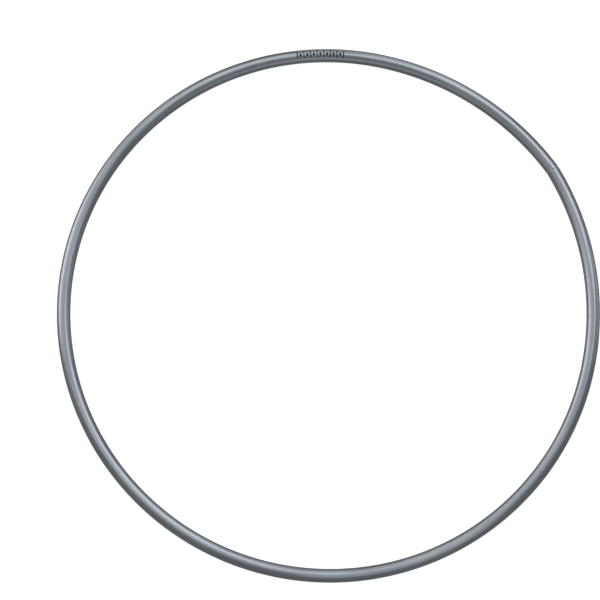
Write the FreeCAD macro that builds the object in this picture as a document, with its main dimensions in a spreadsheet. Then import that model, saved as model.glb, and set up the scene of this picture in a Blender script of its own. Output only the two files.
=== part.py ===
import FreeCAD, Part
import os

import Sketcher
from FreeCAD import Placement, Rotation, Vector

# A rhythmic gymnastics hoop, lying flat on the floor.
#
# One extruded plastic tube is bent round until its two ends meet in a butt joint.  A hollow plug
# inside the bore holds the ends in line, and a countersunk drive pin through the inner rim on
# each side of the seam keeps the plug in the tube.
#
# In plan the tube follows three tangent arcs.  Most of the hoop is one arc about the origin.  The
# stretches beside the seam are a little straighter, because the ends of the tube are never bent
# quite as far as the rest, so they have a larger radius and meet at the seam in a slight peak.
#
# Hoop frame: Z is the hoop's axis, Z = 0 is the floor, and the origin is the main arc's centre.
# Seam frame, in which every body is drawn: X runs from the hoop's centre through the seam, the
# XY plane is the tube's mid-plane, and the two halves of the hoop mirror each other across XZ.
# The Placement of each body turns the seam to its direction and lifts the tube onto the floor.

# The driving dimensions: lengths in millimetres, angles in degrees.
DIMENSIONS = {
    "tube_diameter": 20,
    "tube_wall": 2,
    "hoop_radius": 390,  # centreline of the main arc
    "end_arc_radius": 417,  # centreline of the straighter stretches beside the seam
    "end_arc_angle": 46.5,  # where the main arc begins, as seen from the hoop's centre
    "seam_direction": 31,  # from +X, counter-clockwise seen from above
    "seam_gap": 0.4,  # between the two sawn ends of the tube
    "saw_allowance": 5,  # spare length of a bent end, sawn off along the seam plane
    "end_chamfer": 0.5,  # deburred edges of the tube's ends
    "plug_clearance": 0.15,  # between the plug and the bore, all round
    "plug_wall": 2.5,
    "plug_reach": 52,  # into each end of the tube, along the centreline
    "plug_chamfer": 1,  # lead-in at each end of the plug
    "pin_distance": 21,  # from the seam, along the centreline
    "pin_diameter": 2.2,
    "pin_length": 6,
    "pin_point": 0.6,  # chamfer at the tip
    "head_diameter": 4.5,
    "head_depth": 0.1,  # of the top of the head below the inner rim
    "pin_hole_diameter": 2.4,
    "countersink_diameter": 5,
    "countersink_angle": 90,
}

# Measures that follow from the driving dimensions: the kind of property, and its formula.
# An end arc has a centre of its own, on the line from the start of the main arc through the
# hoop's centre, and the angles of the plug's end and of the pin are about that centre.  Half the
# peak is how far a tube end leans from square to the seam plane.
DERIVED = {
    "centre_offset": ("Length", "size.end_arc_radius - size.hoop_radius"),
    "centre_x": ("Distance", "-shape.centre_offset * cos(size.end_arc_angle * 1 deg)"),
    "centre_y": ("Distance", "-shape.centre_offset * sin(size.end_arc_angle * 1 deg)"),
    "half_peak": ("Angle", "asin(-shape.centre_y / (size.end_arc_radius * 1 mm))"),
    "plug_angle": ("Angle", "shape.half_peak + size.plug_reach / size.end_arc_radius * 1 rad"),
    "pin_angle": ("Angle", "shape.half_peak + size.pin_distance / size.end_arc_radius * 1 rad"),
    "saw_angle": ("Angle", "size.saw_allowance / size.end_arc_radius * 1 rad"),
    "plug_end_x": ("Distance", "shape.centre_x + size.end_arc_radius * cos(shape.plug_angle) * 1 mm"),
    "plug_end_y": ("Distance", "shape.centre_y + size.end_arc_radius * sin(shape.plug_angle) * 1 mm"),
    "rim_radius": ("Length", "size.end_arc_radius - size.tube_diameter / 2"),
    "pin_x": ("Distance", "shape.centre_x + shape.rim_radius * cos(shape.pin_angle)"),
    "pin_y": ("Distance", "shape.centre_y + shape.rim_radius * sin(shape.pin_angle)"),
    "tube_bore": ("Length", "size.tube_diameter - 2 * size.tube_wall"),
    "plug_diameter": ("Length", "shape.tube_bore - 2 mm * size.plug_clearance"),
    "plug_bore": ("Length", "shape.plug_diameter - 2 mm * size.plug_wall"),
}

# The numbers that stand for a sketch's own axes and origin, and for the points of an edge.
HORIZONTAL_AXIS = -1
ORIGIN = (-1, 1)
START = 1
END = 2
CENTRE = 3

TOLERANCE = 1e-4


def make_sheet(doc):
    """The driving dimensions, one to a row, each value with its name as alias."""
    sheet = doc.addObject("Spreadsheet::Sheet", "size")
    for row, (name, number) in enumerate(DIMENSIONS.items(), start=1):
        sheet.set(f"A{row}", name)
        sheet.set(f"B{row}", str(number))
        sheet.setAlias(f"B{row}", name)
    doc.recompute()


def make_derived(doc):
    """The measures that follow from the sheet, each a property bound to its formula."""
    shape = doc.addObject("App::VarSet", "shape")
    for name, (kind, formula) in DERIVED.items():
        shape.addProperty(f"App::Property{kind}", name, "Derived")
        shape.setExpression(name, formula)
    doc.recompute()


def value(item, formula):
    """What a formula comes to now, as a plain number."""
    result = item.evalExpression(str(formula))
    return float(getattr(result, "Value", result))


def bind(item, **formulas):
    """Bind properties to formulas; a double underscore stands for the dot in a path."""
    for path, formula in formulas.items():
        item.setExpression(path.replace("__", "."), formula)


def origin_feature(body, role):
    """One of the body's own planes or axes, such as XY_Plane."""
    return next(item for item in body.Origin.OriginFeatures if item.Role == role)


def new_body(doc, name):
    """A body drawn in the seam frame and placed in the hoop's frame."""
    body = doc.addObject("PartDesign::Body", name)
    body.Label = name
    body.Placement = Placement(Vector(0, 0, 0), Rotation(Vector(0, 0, 1), 1))
    bind(
        body,
        Placement__Base__z="size.tube_diameter / 2",
        Placement__Rotation__Angle="size.seam_direction",
    )
    return body


def new_sketch(body, name, role, axis, **offset):
    """A sketch on one of the body's origin planes, moved by formulas and turned about an axis."""
    sketch = body.newObject("Sketcher::SketchObject", name)
    sketch.AttachmentSupport = [(origin_feature(body, role), "")]
    sketch.MapMode = "FlatFace"
    sketch.AttachmentOffset = Placement(Vector(0, 0, 0), Rotation(axis, 1))
    bind(sketch, **{f"AttachmentOffset__{path}": formula for path, formula in offset.items()})
    return sketch


def dimension(sketch, formula, kind, *points):
    """A dimensional constraint bound to a formula."""
    index = sketch.addConstraint(Sketcher.Constraint(kind, *points, value(sketch, formula)))
    sketch.setExpression(f"Constraints[{index}]", formula)


def draw_ring(sketch, distance, diameters):
    """Concentric circles on the horizontal axis, at a distance from the sketch's origin."""
    middle = Vector(value(sketch, distance), 0, 0)
    for edge, diameter in enumerate(diameters):
        sketch.addGeometry(Part.Circle(middle, Vector(0, 0, 1), value(sketch, diameter) / 2))
        dimension(sketch, diameter, "Diameter", edge)
        sketch.addConstraint(Sketcher.Constraint("PointOnObject", edge, CENTRE, HORIZONTAL_AXIS))
        dimension(sketch, distance, "DistanceX", *ORIGIN, edge, CENTRE)


def draw_outline(sketch, corners):
    """A closed outline through corners given by formulas; a corner with no Y is on the axis."""
    points = [Vector(value(sketch, x), value(sketch, y or 0), 0) for x, y in corners]
    for point, following in zip(points, points[1:] + points[:1]):
        sketch.addGeometry(Part.LineSegment(point, following))
    for edge, (x, y) in enumerate(corners):
        before = (edge or len(corners)) - 1
        sketch.addConstraint(Sketcher.Constraint("Coincident", before, END, edge, START))
        dimension(sketch, x, "DistanceX", *ORIGIN, edge, START)
        if y:
            dimension(sketch, y, "DistanceY", *ORIGIN, edge, START)
        else:
            sketch.addConstraint(Sketcher.Constraint("PointOnObject", edge, START, HORIZONTAL_AXIS))


def volume(body):
    """The volume of the body so far."""
    return 0 if body.Shape.isNull() else body.Shape.Volume


def add_feature(body, kind, name, formulas, **settings):
    """Add a feature to the body and make sure that it changes the solid."""
    before = volume(body)
    feature = body.newObject(f"PartDesign::{kind}", name)
    for key, setting in settings.items():
        setattr(feature, key, setting)
    body.Tip = feature
    bind(feature, **formulas)
    body.Document.recompute()
    if abs(volume(body) - before) < TOLERANCE:
        raise RuntimeError(f"{name} leaves {body.Label} as it was")


def bend(body, name, centre, radius, start, sweep, diameters):
    """A length of tube bent round an upright axis, from the angle start clockwise by sweep."""
    centre_x, centre_y = centre
    sketch = new_sketch(
        body,
        f"{name}_section",
        "XZ_Plane",
        Vector(0, 1, 0),
        Base__x=centre_x,
        Base__z=f"-1 * {centre_y}",
        Rotation__Angle=start,
    )
    draw_ring(sketch, radius, diameters)
    add_feature(
        body,
        "Revolution",
        name,
        {"Angle": sweep},
        Profile=sketch,
        ReferenceAxis=(sketch, ["V_Axis"]),
        Reversed=True,
    )


def saw_end(body, clearance):
    """Saw the spare length off the bent end, parallel to the seam plane and clear of it."""
    add_feature(
        body,
        "SubtractiveBox",
        "saw_cut",
        {
            "Length": "size.end_arc_radius + size.tube_diameter",
            "Width": "2 * size.saw_allowance",
            "Height": "2 * size.tube_diameter",
            "Placement__Base__y": f"{clearance} - 2 * size.saw_allowance",
            "Placement__Base__z": "-1 * size.tube_diameter",
        },
    )


def chamfer(body, name, size, on_edge):
    """Chamfer the edges of the body's last feature whose points all pass a test."""
    edges = [
        f"Edge{number}"
        for number, edge in enumerate(body.Tip.Shape.Edges, start=1)
        if all(on_edge(point) for point in edge.discretize(5))
    ]
    add_feature(body, "Chamfer", name, {"Size": size}, Base=(body.Tip, edges))


def drill_pin_hole(body, depth, sunk):
    """Drill for the pin from the inner rim outwards, square to the tube, and countersink it."""
    sketch = new_sketch(
        body,
        "pin_hole_centre",
        "YZ_Plane",
        Vector(0, 1, 0),
        Base__x="shape.pin_y",
        Base__z="shape.pin_x",
        Rotation__Angle="shape.pin_angle",
    )
    radius = value(sketch, "size.pin_hole_diameter / 2")
    sketch.addGeometry(Part.Circle(Vector(0, 0, 0), Vector(0, 0, 1), radius))
    sketch.addConstraint(Sketcher.Constraint("Coincident", 0, CENTRE, *ORIGIN))
    dimension(sketch, "size.pin_hole_diameter", "Diameter", 0)
    body.Document.recompute()
    formulas = {"Diameter": "size.pin_hole_diameter", "Depth": depth}
    if sunk:
        formulas["HoleCutDiameter"] = "size.countersink_diameter"
        formulas["HoleCutCountersinkAngle"] = "size.countersink_angle"
    add_feature(
        body,
        "Hole",
        "pin_hole",
        formulas,
        Profile=sketch,
        Reversed=True,
        DepthType="Dimension",
        DrillPoint="Flat",
        HoleCutType="Countersink" if sunk else "None",
        HoleCutCustomValues=sunk,
    )


def mirror_half(body):
    """Complete a body with its mirror image across the seam plane."""
    plane = origin_feature(body, "XZ_Plane")
    add_feature(
        body,
        "Mirrored",
        "other_half",
        {},
        TransformMode="Whole shape",
        MirrorPlane=(plane, [""]),
    )


def bend_end(body, diameters, start, clearance):
    """A length bent along the end arc, from the angle start to a clearance short of the seam."""
    bend(
        body,
        "end_arc",
        centre=("shape.centre_x", "shape.centre_y"),
        radius="size.end_arc_radius",
        start=start,
        sweep=f"{start} - shape.half_peak + shape.saw_angle",
        diameters=diameters,
    )
    saw_end(body, clearance)


def make_tube(doc):
    """The hoop itself, drawn as one half that is mirrored across the seam plane."""
    body = new_body(doc, "hoop_tube")
    diameters = ("size.tube_diameter", "shape.tube_bore")
    bend(
        body,
        "main_arc",
        centre=("0 mm", "0 mm"),
        radius="size.hoop_radius",
        start="180 deg",
        sweep="180 - size.end_arc_angle",
        diameters=diameters,
    )
    bend_end(body, diameters, "size.end_arc_angle * 1 deg", "size.seam_gap / 2")
    sawn_face = value(body, "size.seam_gap / 2")
    chamfer(body, "deburring", "size.end_chamfer", lambda p: abs(p.y - sawn_face) < TOLERANCE)
    drill_pin_hole(body, "2 * size.tube_wall", sunk=True)
    mirror_half(body)
    return body


def make_plug(doc):
    """The hollow plug inside the joint, bent like the tube round it."""
    body = new_body(doc, "joint_plug")
    bend_end(body, ("shape.plug_diameter", "shape.plug_bore"), "shape.plug_angle", "0")
    middle = Vector(value(body, "shape.plug_end_x"), value(body, "shape.plug_end_y"), 0)
    rim = value(body, "shape.plug_diameter / 2")
    chamfer(
        body,
        "lead_in",
        "size.plug_chamfer",
        lambda p: abs(p.distanceToPoint(middle) - rim) < TOLERANCE,
    )
    drill_pin_hole(body, "size.pin_length", sunk=False)
    mirror_half(body)
    return body


# Half the pin's outline along its axis, which starts at the inner rim and points into the tube.
PIN_OUTLINE = (
    ("size.head_depth", None),
    ("size.head_depth", "size.head_diameter / 2"),
    ("size.head_depth + (size.head_diameter - size.pin_diameter) / 2", "size.pin_diameter / 2"),
    ("size.pin_length - size.pin_point", "size.pin_diameter / 2"),
    ("size.pin_length", "size.pin_diameter / 2 - size.pin_point"),
    ("size.pin_length", None),
)


def make_pin(doc, name, side):
    """A countersunk drive pin; side is 1 on the side of the seam where Y is positive, or -1."""
    body = new_body(doc, name)
    sketch = new_sketch(
        body,
        "pin_outline",
        "XY_Plane",
        Vector(0, 0, 1),
        Base__x="shape.pin_x",
        Base__y=f"{side} * shape.pin_y",
        Rotation__Angle=f"{side} * shape.pin_angle",
    )
    draw_outline(sketch, PIN_OUTLINE)
    add_feature(body, "Revolution", "turned_pin", {}, Profile=sketch, ReferenceAxis=(sketch, ["H_Axis"]))
    return body


def check_document(doc, bodies):
    """Stop if a feature failed or a body's shape isn't a valid solid."""
    for item in doc.Objects:
        if {"Invalid", "Error"} & set(item.State):
            raise RuntimeError(f"{item.Label} failed: {item.State}")
    for body in bodies:
        shape = body.Shape
        if shape.isNull() or not shape.isValid() or len(shape.Solids) != 1:
            raise RuntimeError(f"{body.Label} isn't one valid solid")


def write_bodies(bodies):
    """One STEP file for each body, named after it."""
    os.makedirs("parts", exist_ok=True)
    for body in bodies:
        body.Shape.exportStep(f"parts/{body.Label}.step")
        box = body.Shape.BoundBox
        print(
            f"{body.Label}: {body.Shape.Volume:.1f} mm3,"
            f" X {box.XMin:.2f} to {box.XMax:.2f},"
            f" Y {box.YMin:.2f} to {box.YMax:.2f},"
            f" Z {box.ZMin:.2f} to {box.ZMax:.2f}"
        )


def main():
    doc = FreeCAD.newDocument("rhythmic_hoop")
    make_sheet(doc)
    make_derived(doc)
    bodies = [
        make_tube(doc),
        make_plug(doc),
        make_pin(doc, "joint_pin_1", 1),
        make_pin(doc, "joint_pin_2", -1),
    ]
    doc.recompute()
    check_document(doc, bodies)
    write_bodies(bodies)


main()
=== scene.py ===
"""Looks of a rhythmic hoop: a satin grey plastic tube, closed by one pinned butt joint, with a printed mark.

The pieces are worked out in the seam frame, which has the seam on its +X, the middle of the tube at
height 0 and the two halves of the hoop as mirror images. They are then turned into the hoop's frame.
Lengths are in metres, noise scales in cells per metre, and colours linear.
"""

import math

import bmesh
import bpy
import numpy as np
from mathutils import Matrix, Quaternion, Vector


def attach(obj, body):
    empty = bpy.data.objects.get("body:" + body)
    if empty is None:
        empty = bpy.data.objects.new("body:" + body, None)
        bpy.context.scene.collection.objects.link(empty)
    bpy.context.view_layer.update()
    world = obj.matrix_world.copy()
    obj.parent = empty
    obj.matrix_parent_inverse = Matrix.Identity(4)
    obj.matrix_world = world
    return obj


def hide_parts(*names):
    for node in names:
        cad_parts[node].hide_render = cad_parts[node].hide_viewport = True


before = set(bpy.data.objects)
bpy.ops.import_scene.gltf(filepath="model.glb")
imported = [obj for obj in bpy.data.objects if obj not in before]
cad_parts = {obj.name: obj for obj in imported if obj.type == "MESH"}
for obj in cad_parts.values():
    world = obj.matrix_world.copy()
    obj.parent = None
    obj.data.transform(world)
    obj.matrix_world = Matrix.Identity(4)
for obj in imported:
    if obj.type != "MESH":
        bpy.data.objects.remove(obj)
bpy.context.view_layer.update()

MM = 0.001

# The tube, its end arcs beside the seam and its sawn ends
TUBE_RADIUS = 10 * MM
BORE_RADIUS = 8 * MM
HOOP_RADIUS = 390 * MM
END_ARC_RADIUS = 417 * MM
END_ARC_ANGLE = math.radians(46.5)
SEAM_DIRECTION = math.radians(31)
SEAM_GAP = 0.4 * MM
END_CHAMFER = 0.5 * MM

# The plug inside the joint
PLUG_RADIUS = BORE_RADIUS - 0.15 * MM
PLUG_BORE_RADIUS = PLUG_RADIUS - 2.5 * MM
PLUG_REACH = 52 * MM  # each side of the seam
PLUG_CHAMFER = 1 * MM

# The pins that hold it, and their holes
PIN_DISTANCE = 21 * MM  # from the seam
PIN_RADIUS = 1.1 * MM
PIN_LENGTH = 6 * MM
PIN_POINT = 0.6 * MM
HEAD_RADIUS = 2.25 * MM
HEAD_DEPTH = 0.1 * MM
HEAD_ROUNDING = 0.08 * MM
PIN_HOLE_RADIUS = 1.2 * MM
COUNTERSINK_RADIUS = 2.5 * MM

# The printed mark: upright bars with a diamond between each two
MARK_DIRECTION = math.radians(90)
MARK_PITCH = 4.95 * MM
MARK_COUNT = 15
BAR_SIZE = (1.9 * MM, 10.4 * MM)
DIAMOND_SIZE = (4.4 * MM, 7.6 * MM)
DIAMOND_TAPER = 0.97
INK_THICKNESS = 0.03 * MM

# Steps of the meshes: fine rings near the joint, coarse ones round the rest of the hoop, and a window of
# cells round each pin hole
AROUND = 64
FINE_START = 2 * MM
FINE_STEP = 1 * MM
FINE_REACH = 30 * MM
COARSE_RINGS = 230
WINDOW_CELLS = 6
PIN_AROUND = 48
ROUNDING_STEPS = 7
MARK_ROWS = 17
SHARP_ANGLE = math.radians(30)

# Colours
TUBE_DARK = (0.245, 0.268, 0.297, 1)
TUBE_LIGHT = (0.288, 0.312, 0.345, 1)
FLAKE_COLOUR = (0.62, 0.64, 0.67, 1)
# Lighter colour of the worn ends and the rim scuffs; on the sawn ends it is partly painted light that lifts
# the shade of the seam's groove
WORN_AND_PAINTED_LIGHT_COLOUR = (0.5, 0.51, 0.53, 1)
PLUG_DARK = (0.5, 0.5, 0.47, 1)
PLUG_LIGHT = (0.6, 0.6, 0.57, 1)
STEEL_DARK = (0.5, 0.5, 0.51, 1)
STEEL_LIGHT = (0.66, 0.66, 0.67, 1)
INK_DARK = (0.005, 0.005, 0.006, 1)
INK_LIGHT = (0.016, 0.017, 0.02, 1)
WHITE = (1, 1, 1, 1)

# The end arcs' centre lies behind the hoop's, on the line to where they meet the main arc.
END_CENTRE_X = -(END_ARC_RADIUS - HOOP_RADIUS) * math.cos(END_ARC_ANGLE)
END_CENTRE_Y = -(END_ARC_RADIUS - HOOP_RADIUS) * math.sin(END_ARC_ANGLE)
SEAM_ANGLE = math.asin(-END_CENTRE_Y / END_ARC_RADIUS)
END_ARC_LENGTH = END_ARC_RADIUS * (END_ARC_ANGLE - SEAM_ANGLE)
HALF_LENGTH = END_ARC_LENGTH + HOOP_RADIUS * (math.pi - END_ARC_ANGLE)
PIN_ANGLE = SEAM_ANGLE + PIN_DISTANCE / END_ARC_RADIUS
RIM_REACH = END_ARC_RADIUS - TUBE_RADIUS  # from the end arcs' centre to the inner rim


# Places on the bent tube

def section_angles(count):
    """Angles round the tube's section, from the outer rim over the top to the inner rim and back."""
    return np.arange(count) * 2 * math.pi / count


def tube_points(distance, around, radius):
    """Points of the upper half at a distance along the tube from the seam, an angle round its section and
    a radius from its centre line."""
    distance, around, radius = np.broadcast_arrays(distance, around, radius)
    on_end_arc = distance < END_ARC_LENGTH
    end_angle = SEAM_ANGLE + distance / END_ARC_RADIUS
    main_angle = END_ARC_ANGLE + (distance - END_ARC_LENGTH) / HOOP_RADIUS
    angle = np.where(on_end_arc, end_angle, main_angle)
    reach = np.where(on_end_arc, END_ARC_RADIUS, HOOP_RADIUS) + radius * np.cos(around)
    x = np.where(on_end_arc, END_CENTRE_X, 0) + reach * np.cos(angle)
    y = np.where(on_end_arc, END_CENTRE_Y, 0) + reach * np.sin(angle)
    return np.stack([x, y, radius * np.sin(around)], axis=-1)


def ring(distance, radius):
    """One ring of points round the tube's section."""
    return tube_points(distance, section_angles(AROUND), radius)


def sawn_ring(offset, radius):
    """A ring in the flat plane that lies that far from the seam, as the saw cut the tube."""
    around = section_angles(AROUND)
    reach = END_ARC_RADIUS + radius * np.cos(around)
    angle = np.arcsin((offset - END_CENTRE_Y) / reach)
    x = END_CENTRE_X + reach * np.cos(angle)
    y = END_CENTRE_Y + reach * np.sin(angle)
    return np.stack([x, y, radius * np.sin(around)], axis=-1)


def pin_points(reach, along, up):
    """Points beside a pin: how far out from the end arc's centre along the pin, along the tube, and up."""
    reach, along, up = np.broadcast_arrays(reach, along, up)
    x = END_CENTRE_X + reach * math.cos(PIN_ANGLE) - along * math.sin(PIN_ANGLE)
    y = END_CENTRE_Y + reach * math.sin(PIN_ANGLE) + along * math.cos(PIN_ANGLE)
    return np.stack([x, y, up], axis=-1)


def mirrored(points):
    """The same points on the other side of the seam."""
    return points * np.array([1, -1, 1])


def unrolled(points):
    """Where points would lie if the tube were straight: out and up from its centre line, and along it from
    the far side of the hoop, so that the seam is at plus and minus half its length."""
    side = np.where(points[:, 1] < 0, -1.0, 1.0)
    x, y = points[:, 0], np.abs(points[:, 1])
    on_end_arc = np.arctan2(y, x) < END_ARC_ANGLE
    from_x = x - np.where(on_end_arc, END_CENTRE_X, 0)
    from_y = y - np.where(on_end_arc, END_CENTRE_Y, 0)
    angle = np.arctan2(from_y, from_x)
    end_distance = END_ARC_RADIUS * (angle - SEAM_ANGLE)
    main_distance = END_ARC_LENGTH + HOOP_RADIUS * (angle - END_ARC_ANGLE)
    distance = np.where(on_end_arc, end_distance, main_distance)
    out = np.hypot(from_x, from_y) - np.where(on_end_arc, END_ARC_RADIUS, HOOP_RADIUS)
    return np.stack([out, points[:, 2], side * (HALF_LENGTH - distance)], axis=-1)


# Meshes

def quads(index, closed):
    """Faces of a grid of point numbers whose columns go round. Closed joins the last row to the first."""
    following = np.roll(index, -1, axis=1)
    next_row, next_following = np.roll(index, -1, axis=0), np.roll(following, -1, axis=0)
    corners = np.stack([index, following, next_following, next_row], axis=-1)
    if not closed:
        corners = corners[:-1]
    return corners.reshape(-1, 4)


def new_piece(name, points, faces, replaced=None):
    """A shown piece from points in the seam frame. It keeps their place on the straight tube, for its
    material, as the attribute "straight"."""
    mesh = bpy.data.meshes.new(name)
    mesh.from_pydata(points.tolist(), [], faces)
    straight = mesh.attributes.new("straight", "FLOAT_VECTOR", "POINT")
    straight.data.foreach_set("vector", unrolled(points).astype(np.float32).ravel())
    work = bmesh.new()
    work.from_mesh(mesh)
    bmesh.ops.delete(work, geom=[v for v in work.verts if not v.link_faces], context="VERTS")
    bmesh.ops.recalc_face_normals(work, faces=work.faces)
    work.to_mesh(mesh)
    work.free()
    mesh.transform(Matrix.Translation((0, 0, TUBE_RADIUS)) @ Matrix.Rotation(SEAM_DIRECTION, 4, "Z"))
    mesh.shade_smooth()
    mesh.set_sharp_from_angle(angle=SHARP_ANGLE)
    piece = bpy.data.objects.new(name, mesh)
    bpy.context.scene.collection.objects.link(piece)
    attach(piece, "root")
    if replaced:
        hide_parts(replaced)
    return piece


def hole_circle(radius, shell_radius):
    """Points round a pin's axis on the inner rim of a shell of the tube, in the order of window_edge."""
    count = 4 * WINDOW_CELLS
    turn = math.radians(45) + np.arange(count) * 2 * math.pi / count
    along, up = radius * np.cos(turn), radius * np.sin(turn)
    reach = END_ARC_RADIUS - np.sqrt(shell_radius ** 2 - up ** 2)
    return pin_points(np.sqrt(reach ** 2 - along ** 2), along, up)


def window_edge(patch):
    """Point numbers round the edge of a square patch, from its far upper corner."""
    return np.concatenate([patch[:0:-1, 0], patch[0, :-1], patch[:-1, -1], patch[-1, :0:-1]])


def pinned_tube(distances, rings, radii, countersink=False):
    """Points and faces of a hollow tube with a pin hole on each side of the seam, from its outer and bore
    rings and their radii. The rings run from one end to the middle of the piece, and their mirror images
    from there to the other end."""
    half_count = len(distances)
    row_count = 2 * half_count - 1
    shells = [np.concatenate([half, mirrored(half[-2::-1])]) for half in rings]
    points = [np.concatenate([shells[0], shells[1][::-1]]).reshape(-1, 3)]
    index = np.arange(2 * row_count * AROUND).reshape(2 * row_count, AROUND)
    outer, bore = index[:row_count], index[:row_count - 1:-1]

    # A square window of cells round each pin is opened, and its edge is moved onto the circle of the hole.
    reach = (WINDOW_CELLS + 0.5) / 2 * FINE_STEP
    rows = [row for row in range(half_count) if abs(distances[row] - PIN_DISTANCE) < reach]
    rows.sort(key=lambda row: distances[row])
    columns = np.arange(WINDOW_CELLS + 1) + (AROUND - WINDOW_CELLS) // 2
    hole_radii = (COUNTERSINK_RADIUS if countersink else PIN_HOLE_RADIUS, PIN_HOLE_RADIUS)
    next_number = index.size
    inside, walls = [], []
    for side in (1, -1):
        loops = []
        for shell, shell_radius, hole_radius in zip((outer, bore), radii, hole_radii):
            patch = shell[::side][np.ix_(rows, columns)]
            circle = hole_circle(hole_radius, shell_radius)
            points[0][window_edge(patch)] = circle if side == 1 else mirrored(circle)
            inside.append(patch[1:-1, 1:-1].ravel())
            loops.append(window_edge(patch))
        if countersink:
            depth = COUNTERSINK_RADIUS - PIN_HOLE_RADIUS
            circle = hole_circle(PIN_HOLE_RADIUS, radii[0]) + pin_points(depth, 0, 0) - pin_points(0, 0, 0)
            points.append(circle if side == 1 else mirrored(circle))
            loops.insert(1, np.arange(len(circle)) + next_number)
            next_number += len(circle)
        walls.append(quads(np.array(loops), closed=False))
    faces = quads(index, closed=True)
    faces = faces[~np.isin(faces, np.concatenate(inside)).any(axis=1)]
    return np.concatenate(points), np.concatenate([faces, *walls]).tolist()


# The pieces

def make_tube():
    """The hoop's tube: its wall, its sawn and deburred ends, and the countersunk pin holes."""
    saw = SEAM_GAP / 2
    fine = np.arange(FINE_START, FINE_REACH, FINE_STEP)
    coarse = np.linspace(FINE_REACH, HALF_LENGTH, COARSE_RINGS)
    regular = np.concatenate([fine, coarse])
    shells = []
    for radius, chamfer in ((TUBE_RADIUS, -END_CHAMFER), (BORE_RADIUS, END_CHAMFER)):
        rings = [sawn_ring(saw, radius + chamfer), sawn_ring(saw + END_CHAMFER, radius)]
        rings += [ring(distance, radius) for distance in regular]
        shells.append(np.array(rings))
    distances = [saw, saw + END_CHAMFER, *regular]
    points, faces = pinned_tube(distances, shells, (TUBE_RADIUS, BORE_RADIUS), countersink=True)
    return new_piece("tube_shell", points, faces, "hoop_tube")


def make_plug():
    """The short inner tube that bridges the seam."""
    regular = np.arange(PLUG_REACH - PLUG_CHAMFER, FINE_STEP / 2, -FINE_STEP)
    shells = []
    for radius, chamfer in ((PLUG_RADIUS, -PLUG_CHAMFER), (PLUG_BORE_RADIUS, 0)):
        rings = [ring(PLUG_REACH, radius + chamfer)]
        rings += [ring(distance, radius) for distance in regular]
        rings += [sawn_ring(0, radius)]
        shells.append(np.array(rings))
    distances = [PLUG_REACH, *regular, 0]
    points, faces = pinned_tube(distances, shells, (PLUG_RADIUS, PLUG_BORE_RADIUS))
    return new_piece("plug_sleeve", points, faces, "joint_plug")


def pin_outline():
    """Half the outline of a pin, from the middle of its head to its tip: depth below the rim, and radius.
    The head's sharp rim is rounded between its flat top and its cone, which meet at 45 degrees."""
    rim = HEAD_RADIUS - HEAD_ROUNDING / math.tan(math.radians(45 / 2))
    turn = np.radians(np.linspace(0, 180 - 45, ROUNDING_STEPS))
    depth, radius = HEAD_DEPTH + HEAD_ROUNDING * (1 - np.cos(turn)), rim + HEAD_ROUNDING * np.sin(turn)
    rounding = np.stack([depth, radius], axis=1)
    shank = [(HEAD_DEPTH + HEAD_RADIUS - PIN_RADIUS, PIN_RADIUS),
             (PIN_LENGTH - PIN_POINT, PIN_RADIUS),
             (PIN_LENGTH, PIN_RADIUS - PIN_POINT)]
    return np.concatenate([rounding, shank])


def make_pin(number, side):
    """A countersunk drive pin on one side of the seam."""
    outline = pin_outline()
    turn = section_angles(PIN_AROUND)
    depth, radius = outline[:, 0, None], outline[:, 1, None]
    points = pin_points(RIM_REACH + depth, radius * np.cos(turn), radius * np.sin(turn)).reshape(-1, 3)
    index = np.arange(len(points)).reshape(len(outline), PIN_AROUND)
    faces = quads(index, closed=False).tolist() + [index[0].tolist(), index[-1].tolist()]
    if side < 0:
        points = mirrored(points)
    return new_piece(f"pin_{number}", points, faces, f"joint_pin_{number}")


def mark_rings(centre, size, taper):
    """Rings of points round one inked shape, row by row across the tube. Each end is narrower than the
    middle by the share that taper gives. The film starts a little below the tube's surface."""
    across = np.linspace(-0.5, 0.5, MARK_ROWS)
    half_width = size[0] / 2 * (1 - taper * 2 * np.abs(across))
    around = math.pi / 2 + across * size[1] / TUBE_RADIUS
    along = half_width[:, None] * np.array([-1, 1, 1, -1])
    radius = TUBE_RADIUS + INK_THICKNESS * np.array([1, 1, -0.5, -0.5])
    return tube_points(centre + along, around[:, None], radius)


def make_mark():
    """The printed row, as a thin film of ink on top of the tube."""
    middle = END_ARC_LENGTH + HOOP_RADIUS * (MARK_DIRECTION - SEAM_DIRECTION - END_ARC_ANGLE)
    points, faces, start = [], [], 0
    for place in range(MARK_COUNT):
        centre = middle + (place - (MARK_COUNT - 1) / 2) * MARK_PITCH
        is_bar = place % 2 == 0
        rings = mark_rings(centre, BAR_SIZE, 0) if is_bar else mark_rings(centre, DIAMOND_SIZE, DIAMOND_TAPER)
        index = np.arange(MARK_ROWS * 4).reshape(MARK_ROWS, 4) + start
        points.append(rings.reshape(-1, 3))
        faces += quads(index, closed=False).tolist() + [index[0].tolist(), index[-1].tolist()]
        start += index.size
    return new_piece("printed_mark", np.concatenate(points), faces)


# Materials

def feed(tree, socket, value):
    """Gives a socket its value, or links another node's output to it."""
    if isinstance(value, bpy.types.NodeSocket):
        tree.links.new(value, socket)
    else:
        socket.default_value = value


def add_node(tree, kind, settings=None, **inputs):
    """A shader node with its settings, and a value or another node's output for each named input."""
    made = tree.nodes.new("ShaderNode" + kind)
    for name, value in (settings or {}).items():
        setattr(made, name, value)
    for name, value in inputs.items():
        feed(tree, made.inputs[name.replace("_", " ")], value)
    return made


def calculate(tree, operation, *values):
    """A math node's result."""
    made = add_node(tree, "Math", {"operation": operation})
    for socket, value in zip(made.inputs, values):
        feed(tree, socket, value)
    return made.outputs[0]


def rescale(tree, value, from_low, from_high, to_low, to_high):
    """A value carried from one range to another, and held within it."""
    made = add_node(tree, "MapRange", None, Value=value, From_Min=from_low, From_Max=from_high,
                    To_Min=to_low, To_Max=to_high)
    return made.outputs["Result"]


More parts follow.
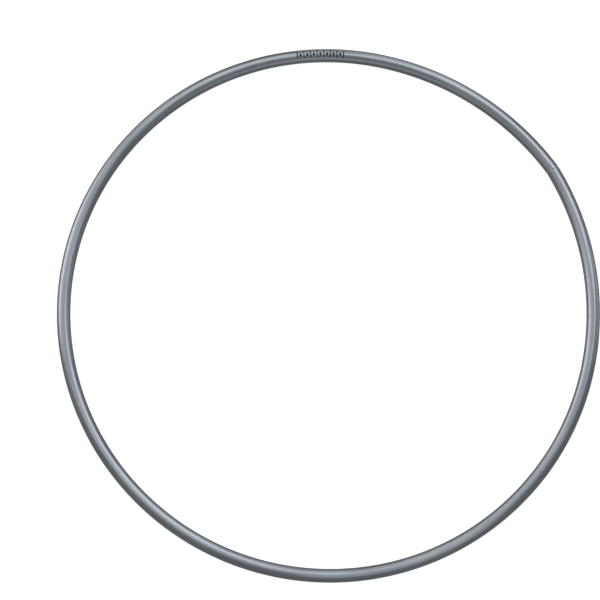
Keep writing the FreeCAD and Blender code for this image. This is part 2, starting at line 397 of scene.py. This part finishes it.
def mix_colours(tree, factor, first, second):
    """A mix of two colours, each a colour or another node's output."""
    made = add_node(tree, "Mix", {"data_type": "RGBA"})
    sockets = [socket for socket in made.inputs if socket.enabled]
    for socket, value in zip(sockets, (factor, first, second)):
        feed(tree, socket, value)
    return next(socket for socket in made.outputs if socket.enabled)


def noise(tree, place, scale, detail=2, stretch=(1, 1, 1)):
    """Noise over a place that is first scaled along each axis."""
    scaled = add_node(tree, "VectorMath", {"operation": "MULTIPLY"})
    feed(tree, scaled.inputs[0], place)
    feed(tree, scaled.inputs[1], stretch)
    made = add_node(tree, "TexNoise", None, Vector=scaled.outputs[0], Scale=scale, Detail=detail)
    return made.outputs["Fac"]


def new_material(name, **shader):
    """A material, its node tree and its main shader with the given constant values."""
    material = bpy.data.materials.new(name)
    material.use_nodes = True
    tree = material.node_tree
    surface = tree.nodes["Principled BSDF"]
    for socket, value in shader.items():
        surface.inputs[socket.replace("_", " ")].default_value = value
    return material, tree, surface


def straight_place(tree):
    """The surface's place on the straight tube: out, up and along."""
    return add_node(tree, "Attribute", {"attribute_name": "straight"}).outputs["Vector"]


def add_bump(tree, surface, height, strength, distance):
    """Fine relief on the surface."""
    bump = add_node(tree, "Bump", None, Height=height, Strength=strength, Distance=distance)
    feed(tree, surface.inputs["Normal"], bump.outputs["Normal"])


def wear_and_painted_light_amount(tree, place):
    """How worn the tube is, with painted light on its ends: the band by the sawn ends is partly wear and
    partly a painted highlight that lifts the shade of the seam's groove. The streaks of scuffs in patches of
    the outer rim are wear.
    """
    parts = add_node(tree, "SeparateXYZ", None, Vector=place)
    out, along = parts.outputs["X"], parts.outputs["Z"]
    to_seam = calculate(tree, "SUBTRACT", HALF_LENGTH, calculate(tree, "ABSOLUTE", along))
    # Painted highlight and wear on the sawn ends, lightening them against the shade of the seam's groove
    worn_and_painted_light_end = rescale(tree, to_seam, 0.7 * MM, 1.8 * MM, 0.85, 0)
    scratches = noise(tree, place, 900, stretch=(1, 1, 0.06))
    scuffs = rescale(tree, scratches, 0.62, 0.7, 0, 0.3)
    at_rim = rescale(tree, out, 0.55 * TUBE_RADIUS, 0.95 * TUBE_RADIUS, 0, 1)
    patches = rescale(tree, noise(tree, place, 9), 0.5, 0.62, 0, 1)
    scuffs = calculate(tree, "MULTIPLY", calculate(tree, "MULTIPLY", scuffs, at_rim), patches)
    return calculate(tree, "MAXIMUM", worn_and_painted_light_end, scuffs)


def tube_material():
    """Satin plastic with fine metal flake, faint lines from the extruder, a worn rim, and ends that are worn
    and lightened with a painted highlight against the seam groove's shade.
    """
    material, tree, surface = new_material("satin_tube", Metallic=0.9, Specular_IOR_Level=0.5)
    place = straight_place(tree)
    flake = noise(tree, place, 5500, detail=1)
    clouds = noise(tree, place, 30, detail=3, stretch=(1, 1, 0.35))
    lines = noise(tree, place, 1400, stretch=(1, 1, 0.012))
    wear_and_painted_light = wear_and_painted_light_amount(tree, place)

    colour = mix_colours(tree, rescale(tree, clouds, 0.35, 0.65, 0, 1), TUBE_DARK, TUBE_LIGHT)
    colour = mix_colours(tree, rescale(tree, flake, 0.58, 0.7, 0, 0.3), colour, FLAKE_COLOUR)
    # Wear colour, which on the sawn ends is also painted light over the seam groove's shade
    feed(tree, surface.inputs["Base Color"], mix_colours(tree, wear_and_painted_light, colour, WORN_AND_PAINTED_LIGHT_COLOUR))

    polish = rescale(tree, clouds, 0.3, 0.7, 0.29, 0.35)
    roughness = calculate(tree, "ADD", polish, calculate(tree, "MULTIPLY", wear_and_painted_light, 0.25))
    feed(tree, surface.inputs["Roughness"], roughness)

    line_relief = calculate(tree, "MULTIPLY", lines, 0.6)
    flake_relief = calculate(tree, "MULTIPLY", flake, 0.25)
    relief = calculate(tree, "SUBTRACT", calculate(tree, "ADD", line_relief, flake_relief), wear_and_painted_light)
    add_bump(tree, surface, relief, 0.12, 0.05 * MM)
    return material


def plug_material():
    """Plain moulded plastic of the inner sleeve."""
    material, tree, surface = new_material("plug_plastic", Metallic=0, Specular_IOR_Level=0.4)
    grain = noise(tree, straight_place(tree), 700, detail=3)
    colour = mix_colours(tree, rescale(tree, grain, 0.3, 0.7, 0, 1), PLUG_DARK, PLUG_LIGHT)
    feed(tree, surface.inputs["Base Color"], colour)
    feed(tree, surface.inputs["Roughness"], rescale(tree, grain, 0.3, 0.7, 0.5, 0.65))
    add_bump(tree, surface, grain, 0.2, 0.05 * MM)
    return material


def pin_material():
    """Steel, drawn and lightly brushed."""
    material, tree, surface = new_material("pin_steel", Metallic=1)
    brushing = noise(tree, straight_place(tree), 3000, stretch=(1, 1, 0.08))
    feed(tree, surface.inputs["Base Color"], mix_colours(tree, brushing, STEEL_DARK, STEEL_LIGHT))
    feed(tree, surface.inputs["Roughness"], rescale(tree, brushing, 0.3, 0.7, 0.26, 0.42))
    add_bump(tree, surface, brushing, 0.15, 0.02 * MM)
    return material


def ink_material():
    """Dark printing ink, a little uneven."""
    material, tree, surface = new_material("mark_ink", Metallic=0, Specular_IOR_Level=0.3)
    density = noise(tree, straight_place(tree), 1800, detail=3)
    colour = mix_colours(tree, rescale(tree, density, 0.35, 0.7, 0, 1), INK_DARK, INK_LIGHT)
    feed(tree, surface.inputs["Base Color"], colour)
    feed(tree, surface.inputs["Roughness"], rescale(tree, density, 0.3, 0.7, 0.32, 0.48))
    return material


# The studio

def softbox(name, place, size, power):
    """A soft square light at that place, turned towards the hoop."""
    lamp = bpy.data.lights.new(name, "AREA")
    lamp.shape = "SQUARE"
    lamp.size = size
    lamp.energy = power
    box = bpy.data.objects.new(name, lamp)
    box.location = place
    box.rotation_euler = Vector(place).to_track_quat("Z", "Y").to_euler()
    box.visible_camera = False
    bpy.context.scene.collection.objects.link(box)


def make_lights():
    """Large softboxes behind the hoop and beside it, and small fill lights close to it."""
    softbox("softbox_right", (1.35, 1.45, 2.55), 2.4, 36)
    softbox("softbox_top", (-1.2, 0.8, 2.2), 2.4, 15.5)
    softbox("softbox_left_back", (-2.1, 2.8, 0.75), 1.65, 8.5)
    softbox("softbox_left", (-2.8, 1.15, 0.9), 1.95, 27)
    softbox("fill_back", (-0.25, 1.1, 0.8), 0.55, 1.6)
    softbox("fill_back_low", (0.55, 1.45, 0.4), 0.85, 1.6)
    softbox("fill_right", (2.15, 0.4, 0.3), 0.65, 1.8)
    softbox("fill_inner_left", (-0.2, -0.2, 0.3), 0.4, 0.2)
    softbox("fill_inner_right", (0.1, -0.35, 0.3), 0.4, 0.27)


def make_floor():
    """A pale floor that glows nearly white, takes only a faint shadow and lights nothing."""
    half = 200  # far enough to meet the white horizon
    corners = [(-half, -half, 0), (half, -half, 0), (half, half, 0), (-half, half, 0)]
    mesh = bpy.data.meshes.new("floor")
    mesh.from_pydata(corners, [], [(0, 1, 2, 3)])
    floor = bpy.data.objects.new("floor", mesh)
    bpy.context.scene.collection.objects.link(floor)
    floor.visible_diffuse = False
    floor.visible_glossy = False
    material = bpy.data.materials.new("pale_floor")
    material.use_nodes = True
    tree = material.node_tree
    tree.nodes.clear()
    glow = add_node(tree, "Emission", None, Color=WHITE, Strength=0.93)
    paint = add_node(tree, "BsdfDiffuse", None, Color=(0.3, 0.3, 0.3, 1))
    both = add_node(tree, "AddShader")
    for socket, shader in zip(both.inputs, (glow, paint)):
        feed(tree, socket, shader.outputs[0])
    add_node(tree, "OutputMaterial", None, Surface=both.outputs[0])
    mesh.materials.append(material)


def make_world():
    """White to the camera, and to everything else an evenly dim room."""
    world = bpy.data.worlds.new("studio")
    world.use_nodes = True
    bpy.context.scene.world = world
    tree = world.node_tree
    tree.nodes.clear()
    room = add_node(tree, "Background", None, Color=WHITE, Strength=0.29)
    seen = add_node(tree, "Background", None, Color=WHITE, Strength=1)
    mix = add_node(tree, "MixShader", None, Fac=add_node(tree, "LightPath").outputs["Is Camera Ray"])
    for socket, shader in zip(mix.inputs[1:], (room, seen)):
        feed(tree, socket, shader.outputs[0])
    add_node(tree, "OutputWorld", None, Surface=mix.outputs[0])


def make_camera():
    """A long lens almost straight above the hoop, rolled and turned a little off the hoop's middle."""
    azimuth, elevation, roll = math.radians(-12.9), math.radians(78.9), math.radians(11.2)
    turn_left, turn_up = math.radians(0.606), math.radians(0.256)
    distance = 4
    level = math.cos(elevation)
    back = Vector((math.sin(azimuth) * level, -math.cos(azimuth) * level, math.sin(elevation)))
    camera = bpy.data.objects.new("camera", bpy.data.cameras.new("camera"))
    camera.data.lens = 162.5
    camera.data.sensor_width = 36
    camera.location = back * distance
    camera.rotation_mode = "QUATERNION"
    camera.rotation_quaternion = (
        (-back).to_track_quat("-Z", "Y")
        @ Quaternion((0, 0, 1), roll)
        @ Quaternion((0, 1, 0), turn_left)
        @ Quaternion((1, 0, 0), turn_up)
    )
    bpy.context.scene.collection.objects.link(camera)
    bpy.context.scene.camera = camera


make_tube().data.materials.append(tube_material())
make_plug().data.materials.append(plug_material())
steel = pin_material()
for number, side in ((1, 1), (2, -1)):
    make_pin(number, side).data.materials.append(steel)
make_mark().data.materials.append(ink_material())

make_lights()
make_floor()
make_world()
make_camera()
bpy.context.scene.view_settings.view_transform = "Standard"
